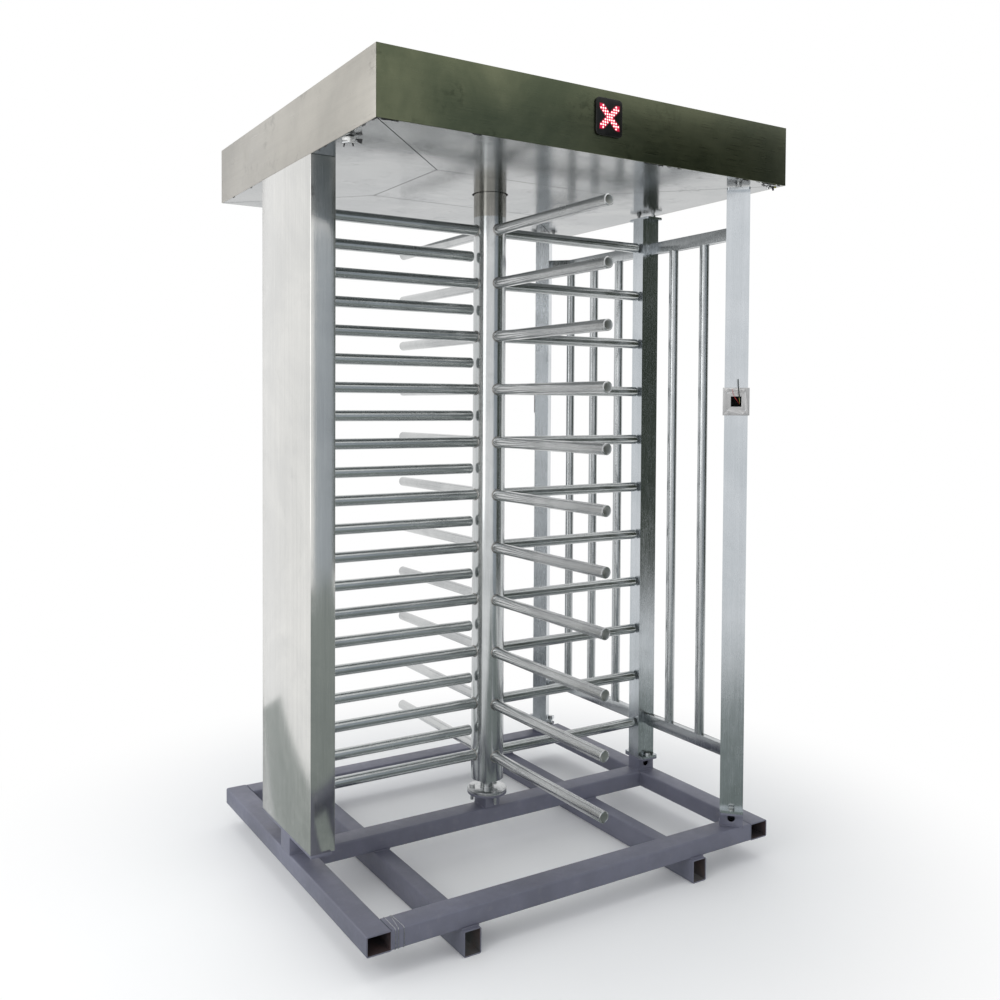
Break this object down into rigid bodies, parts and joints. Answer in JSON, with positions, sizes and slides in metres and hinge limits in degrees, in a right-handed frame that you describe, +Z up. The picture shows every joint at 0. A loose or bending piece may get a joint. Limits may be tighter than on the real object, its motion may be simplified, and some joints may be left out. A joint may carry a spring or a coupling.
{
  "type": "full-height turnstile",
  "caption": "Full-height turnstile with a winged rotor, comb cabinet, guard panels and lit canopy, on a welded base frame",
  "frame": {"origin": "On the floor under the rotor axis, which is the centre of the bounding box's base", "axes": "+X to the right along the front fascia, +Y to the back, +Z up along the rotor axis"},
  "size_m": [1.58, 1.396, 2.6],
  "materials": {
    "brushed_steel": "brushed stainless, satin",
    "canopy_steel": "brushed stainless sheet, satin",
    "fitting_steel": "plain stainless fittings",
    "frame_paint": "slate-grey paint over welded tube, satin",
    "inner_steel": "primer",
    "lamp_red": "lit red lamps",
    "rotor_steel": "polished stainless tube",
    "sign_black": "glossy",
    "soffit_steel": "stainless sheet, half polished"
  },
  "bodies": {
    "stand": {"beam_left": "frame_paint", "beam_right": "frame_paint", "beam_front": "frame_paint", "beam_middle": "frame_paint", "beam_rear": "frame_paint", "skid_left": "frame_paint", "skid_right": "frame_paint", "cabinet_pedestal": "frame_paint", "rotor_pedestal": "frame_paint", "front_pedestal": "frame_paint", "middle_pedestal": "frame_paint", "rear_pedestal": "frame_paint", "cabinet": "brushed_steel", "comb": "brushed_steel", "front_post": "brushed_steel", "middle_post": "brushed_steel", "rear_post": "brushed_steel", "front_guard": "brushed_steel", "rear_guard": "brushed_steel", "foot_flange": "fitting_steel", "foot_bolts": "fitting_steel", "head_bolts": "fitting_steel", "fascia_front": "canopy_steel", "fascia_rear": "canopy_steel", "fascia_left": "canopy_steel", "fascia_right": "canopy_steel", "lid": "canopy_steel", "soffit_front": "soffit_steel", "soffit_rear": "soffit_steel", "soffit_left": "soffit_steel", "soffit_right": "soffit_steel", "soffit_centre": "soffit_steel", "head_frame": "inner_steel", "sign_front": "sign_black", "sign_rear": "sign_black", "lamps_front": "lamp_red", "lamps_rear": "lamp_red", "reader_front": "fitting_steel", "reader_rear": "fitting_steel"},
    "rotor": {"rotor_column": "rotor_steel", "rotor_sleeve": "rotor_steel", "rotor_spindle": "rotor_steel", "wing_front": "rotor_steel", "wing_left": "rotor_steel", "wing_rear": "rotor_steel", "wing_right": "rotor_steel"}
  },
  "joints": [
    {"name": "rotor_spin", "type": "hinge", "parent": "stand", "child": "rotor", "pos_m": [0, 0, 1.2], "axis": [0, 0, 1], "continuous": true}
  ]
}
